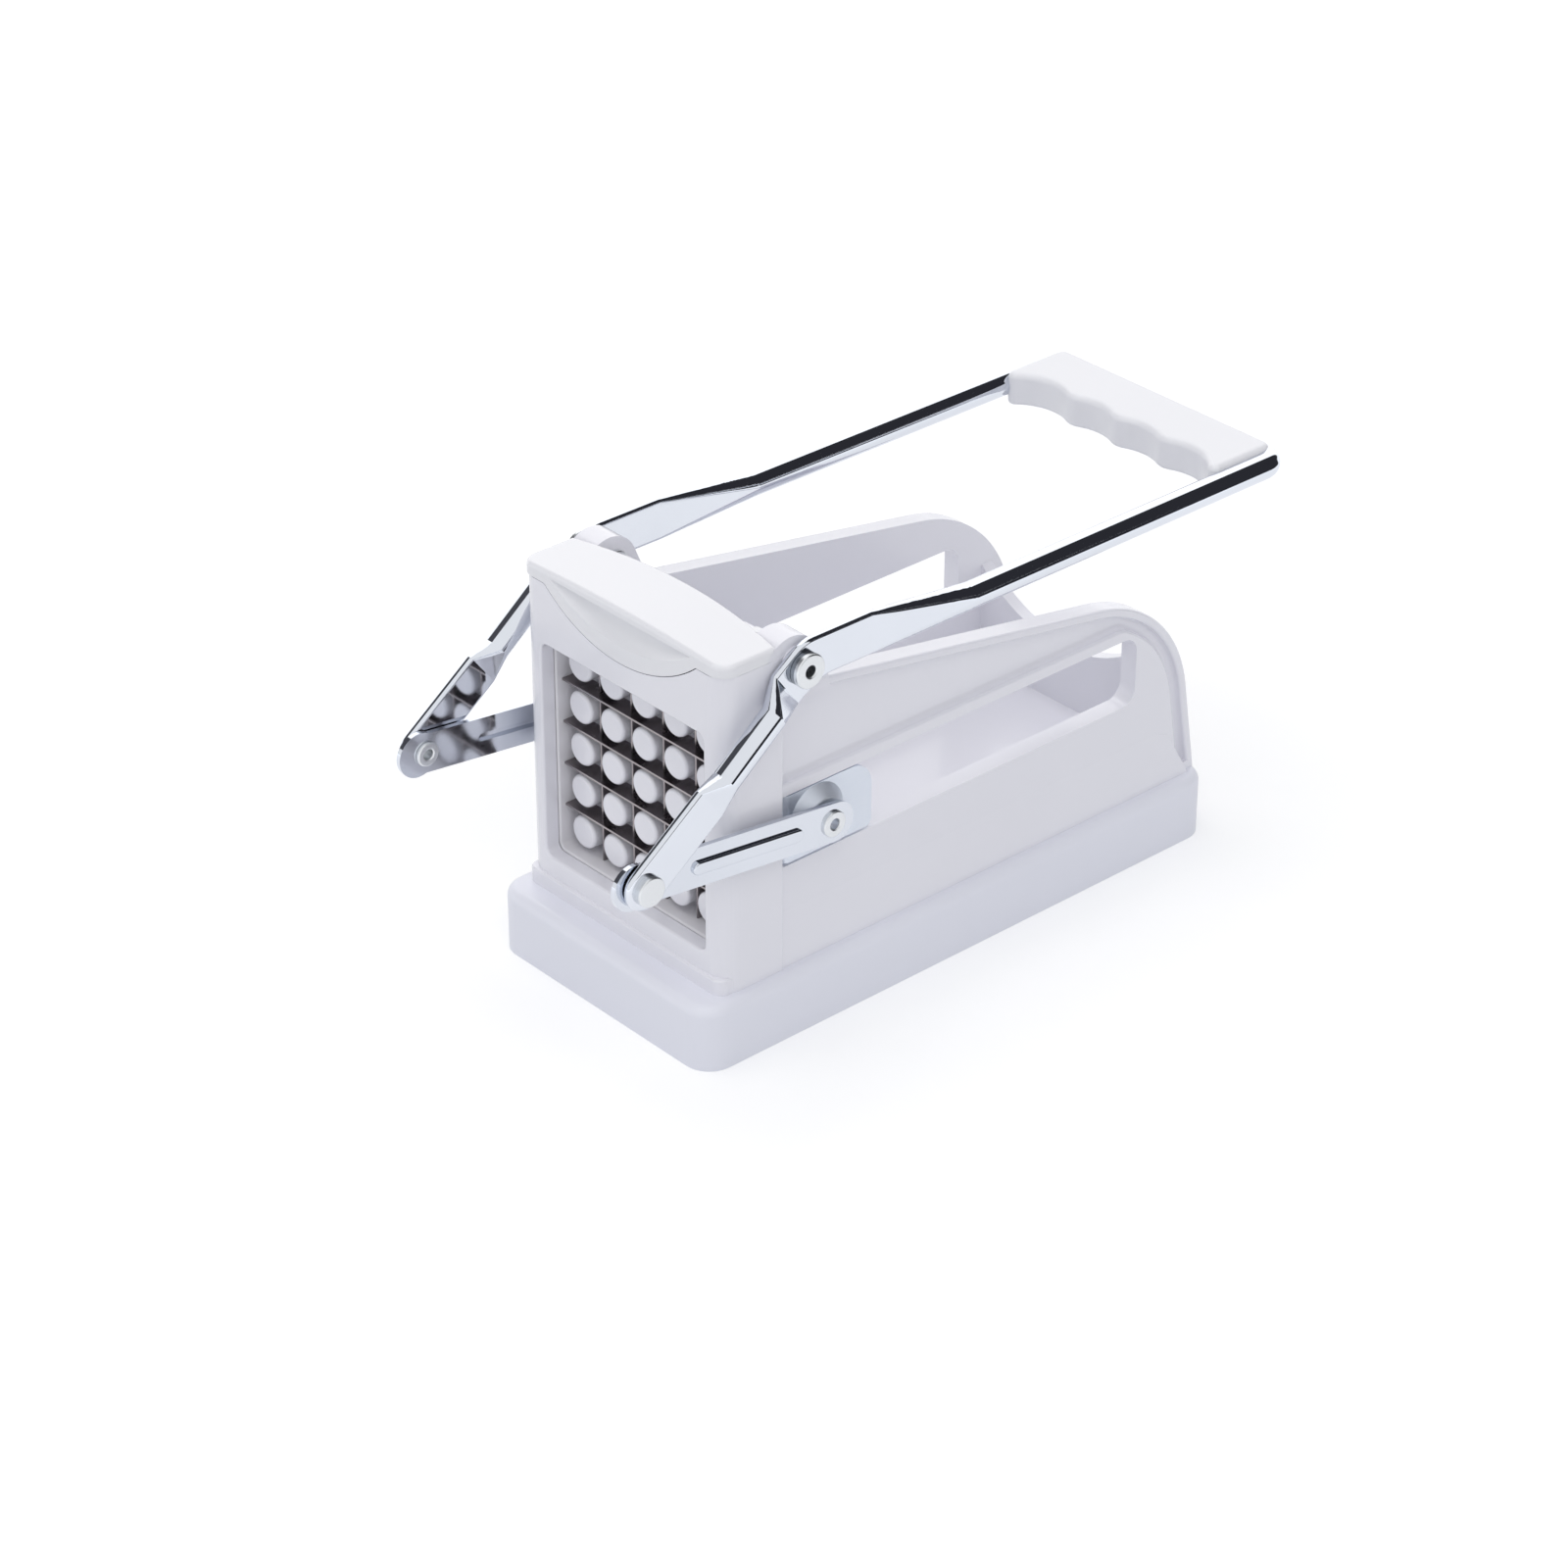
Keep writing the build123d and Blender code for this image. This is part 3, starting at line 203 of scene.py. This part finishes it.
# Each finish with its maker, its look and the pieces that wear it.
finishes = {
    "bodyPlastic": (mouldedPlastic, bodyPlastic, ["body_shell", "pusher_block"]),
    "paintedShadeLidPlastic": (mouldedPlastic, paintedShadeLidPlastic, ["lid"]),
    "gripPlastic": (mouldedPlastic, gripPlastic, ["grip_upper", "grip_lower"]),
    "framePlastic": (
        mouldedPlastic,
        framePlastic,
        ["cartridge_front_frame", "cartridge_rear_frame"],
    ),
    "paintedLightBasePlastic": (mouldedPlastic, paintedLightBasePlastic, ["suction_base"]),
    "chromeTube": (platedSteel, chromeTube, ["lever"]),
    "platedStrip": (platedSteel, platedStrip, ["link_right", "link_left"]),
    "bracketSteel": (platedSteel, bracketSteel, ["pusher_bracket"]),
    "rivetSteel": (
        platedSteel,
        rivetSteel,
        [
            "pivot_rivet_right",
            "pivot_rivet_left",
            "crank_rivet_right",
            "crank_rivet_left",
            "wrist_rivet_right",
            "wrist_rivet_left",
        ],
    ),
    "washerSteel": (platedSteel, washerSteel, ["pivot_washer_right", "pivot_washer_left"]),
    "screwSteel": (
        platedSteel,
        screwSteel,
        ["cartridge_screws", "pusher_screws", "grip_screws", "base_screws", "lid_hinge_pins"],
    ),
    "bladeSteel": (
        platedSteel,
        bladeSteel,
        [f"blade_{way}_{i}" for way in ("upright", "level") for i in range(1, 5)],
    ),
}

for finishName, (maker, look, wearers) in finishes.items():
    material = maker(finishName, look)
    for nodeName in wearers:
        mesh = nodes[nodeName].data
        mesh.materials.clear()
        mesh.materials.append(material)
        mesh.polygons.foreach_set("material_index", [0] * len(mesh.polygons))
print("finishes on every node")


# Studio: a white table with painted shade round the object, and a pale room for the metal to
# show.
studio = {
    "tableReach": 3.0,  # from the middle to each edge, in metres
    "tableTone": (0.80, 0.81, 0.83),  # as it lights the object
    "tableShade": (0.80, 0.78, 0.75),  # as it is seen, with the glow added
    "tableGlow": (0.34, 0.36, 0.39),
    # The table's glow is weakest near the object's middle: painted shade round the object.
    "paintedShadeGlowNear": (0.12, 0.92),  # distance from the object's middle, and strength there
    "paintedShadeGlowFar": (1.50, 2.20),
    "roomTone": (0.97, 0.98, 1.0),  # as it lights the object
    "roomLight": 0.62,
    "seenRoomTone": (1.0, 1.0, 1.0),
    "seenRoomLight": 1.0,
}
showingRays = ("Is Camera Ray", "Is Glossy Ray", "Is Transmission Ray")


# 1 for a ray that shows a surface, straight or in another piece, and 0 for one that lights.
def isShowingRay(tree):
    path = tree.nodes.new("ShaderNodeLightPath")
    total = path.outputs[showingRays[0]]
    for rayName in showingRays[1:]:
        add = tree.nodes.new("ShaderNodeMath")
        add.operation = "MAXIMUM"
        tree.links.new(total, add.inputs[0])
        tree.links.new(path.outputs[rayName], add.inputs[1])
        total = add.outputs["Value"]
    return total


# One shader for the rays that light and another for the rays that show.
def chooseByRay(tree, lighting, showing, surface):
    choose = tree.nodes.new("ShaderNodeMixShader")
    tree.links.new(isShowingRay(tree), choose.inputs["Fac"])
    tree.links.new(lighting, choose.inputs[1])
    tree.links.new(showing, choose.inputs[2])
    tree.links.new(choose.outputs["Shader"], surface)


def tableMaterial():
    material, tree, surface = emptyMaterial("whiteTable")
    bounce = tree.nodes.new("ShaderNodeBsdfDiffuse")
    bounce.inputs["Color"].default_value = (*studio["tableTone"], 1)
    shade = tree.nodes.new("ShaderNodeBsdfDiffuse")
    shade.inputs["Color"].default_value = (*studio["tableShade"], 1)
    glow = tree.nodes.new("ShaderNodeEmission")
    glow.inputs["Color"].default_value = (*studio["tableGlow"], 1)
    # Painted shade: the glow grows with distance from the object's middle, so the table is
    # darker round the object.
    reach = tree.nodes.new("ShaderNodeVectorMath")
    reach.operation = "LENGTH"
    tree.links.new(objectPlace(tree), reach.inputs[0])
    (nearest, weak), (farthest, strong) = studio["paintedShadeGlowNear"], studio["paintedShadeGlowFar"]
    paintedShadeFade = spread(tree, reach.outputs["Value"], weak, strong, nearest, farthest)
    tree.links.new(paintedShadeFade, glow.inputs["Strength"])
    shown = tree.nodes.new("ShaderNodeAddShader")
    tree.links.new(shade.outputs["BSDF"], shown.inputs[0])
    tree.links.new(glow.outputs["Emission"], shown.inputs[1])
    chooseByRay(tree, bounce.outputs["BSDF"], shown.outputs["Shader"], surface)
    return material


def roomShade(tree, tone, strength):
    shade = tree.nodes.new("ShaderNodeBackground")
    shade.inputs["Color"].default_value = (*tone, 1)
    shade.inputs["Strength"].default_value = strength
    return shade.outputs["Background"]


bpy.ops.mesh.primitive_plane_add(size=2 * studio["tableReach"], location=(0, 0, 0))
table = bpy.context.object
table.name = "table"
table.data.materials.append(tableMaterial())

world = bpy.data.worlds.new("paleRoom")
world.use_nodes = True
scene.world = world
worldTree = world.node_tree
worldTree.nodes.clear()
worldOutput = worldTree.nodes.new("ShaderNodeOutputWorld")
chooseByRay(
    worldTree,
    roomShade(worldTree, studio["roomTone"], studio["roomLight"]),
    roomShade(worldTree, studio["seenRoomTone"], studio["seenRoomLight"]),
    worldOutput.inputs["Surface"],
)
print("table and room ready")


# Cards round the object that only reflections show: three dark flags and a bright soft box.
# Each is a patch of a sphere, between two azimuths from +X and two elevations, in degrees.
cardSteps = 24
cards = {
    "rearFlag": {
        "tone": (0.03, 0.03, 0.036),
        "azimuths": (28, 97),
        "elevations": (8.5, 72),
        "radius": 2.5,
    },
    "lowFlag": {
        "tone": (0.03, 0.03, 0.036),
        "azimuths": (-5, 80),
        "elevations": (0.3, 16),
        "radius": 0.6,
    },
    "leftFlag": {
        "tone": (0.08, 0.08, 0.09),
        "azimuths": (183, 240),
        "elevations": (18, 62),
        "radius": 2.5,
    },
    "softBox": {
        "tone": (1.5, 1.5, 1.5),
        "azimuths": (99, 180),
        "elevations": (3, 88),
        "radius": 2.4,
    },
}


def cardMaterial(name, tone):
    material, tree, surface = emptyMaterial(name)
    glow = tree.nodes.new("ShaderNodeEmission")
    glow.inputs["Color"].default_value = (*tone, 1)
    tree.links.new(glow.outputs["Emission"], surface)
    return material


def spherePoint(radius, azimuth, elevation):
    az, el = math.radians(azimuth), math.radians(elevation)
    across = radius * math.cos(el)
    return (across * math.cos(az), across * math.sin(az), radius * math.sin(el))


def card(name, tone, azimuths, elevations, radius):
    vertices, faces = [], []
    turn = (azimuths[1] - azimuths[0]) / cardSteps
    rise = (elevations[1] - elevations[0]) / cardSteps
    for i in range(cardSteps + 1):
        for j in range(cardSteps + 1):
            azimuth = azimuths[0] + turn * i
            elevation = elevations[0] + rise * j
            vertices.append(spherePoint(radius, azimuth, elevation))
            if i < cardSteps and j < cardSteps:
                first = len(vertices) - 1
                beyond = first + cardSteps + 1
                faces.append((first, first + 1, beyond + 1, beyond))
    mesh = bpy.data.meshes.new(name)
    mesh.from_pydata(vertices, [], faces)
    mesh.materials.append(cardMaterial(name, tone))
    patch = bpy.data.objects.new(name, mesh)
    scene.collection.objects.link(patch)
    patch.visible_camera = False
    patch.visible_diffuse = False
    patch.visible_shadow = False
    patch.visible_transmission = False


for cardName, values in cards.items():
    card(cardName, **values)
print("cards ready")


# Square lamps, seen neither by the camera nor in the metal. Places and sizes are in metres.
lamps = {
    "overhead": {
        "place": (-0.3, -0.1, 1.6),
        "size": 1.2,
        "watts": 6.6,
        "tone": (1.0, 0.98, 0.985),
    },
    "high": {
        "place": (0.8, -0.55, 1.2),
        "size": 0.8,
        "watts": 2.9,
        "tone": (1.0, 0.985, 0.99),
    },
    "front": {
        "place": (-0.4, -1.5, 0.5),
        "size": 1.0,
        "watts": 1.0,
        "tone": (0.94, 0.975, 1.0),
    },
    "side": {
        "place": (0.8, -0.45, 0.25),
        "size": 0.5,
        "watts": 0.12,
        "tone": (0.96, 0.98, 1.0),
    },
}
lampTarget = (0, 0, 0.05)


def areaLamp(name, place, size, watts, tone):
    light = bpy.data.lights.new(name, "AREA")
    light.shape = "SQUARE"
    light.size = size
    light.energy = watts
    light.color = tone
    lamp = bpy.data.objects.new(name, light)
    scene.collection.objects.link(lamp)
    lamp.location = place
    aim = Vector(lampTarget) - Vector(place)
    lamp.rotation_euler = aim.to_track_quat("-Z", "Y").to_euler()
    lamp.visible_glossy = False
    lamp.visible_camera = False


for lampName, values in lamps.items():
    areaLamp(lampName, **values)
print("lamps ready")


# Camera. Its place is in metres, and its lens and sensor are in millimetres.
camera = {
    "place": (0.77542, -0.72022, 0.66452),
    "target": (-0.025145, -0.006342, 0.024374),
    "roll": 0.072,  # degrees about the line of sight
    "lens": 101.48,
    "sensor": 36.0,
    "nearest": 0.01,
    "farthest": 50.0,
}
cameraData = bpy.data.cameras.new("camera")
cameraData.lens = camera["lens"]
cameraData.sensor_width = camera["sensor"]
cameraData.clip_start = camera["nearest"]
cameraData.clip_end = camera["farthest"]
cameraObject = bpy.data.objects.new("camera", cameraData)
scene.collection.objects.link(cameraObject)
sight = Vector(camera["target"]) - Vector(camera["place"])
turned = sight.to_track_quat("-Z", "Y").to_matrix().to_4x4()
rolled = Matrix.Rotation(math.radians(camera["roll"]), 4, "Z")
cameraObject.matrix_world = Matrix.Translation(camera["place"]) @ turned @ rolled
scene.camera = cameraObject
scene.view_settings.view_transform = "Standard"
print("camera ready")
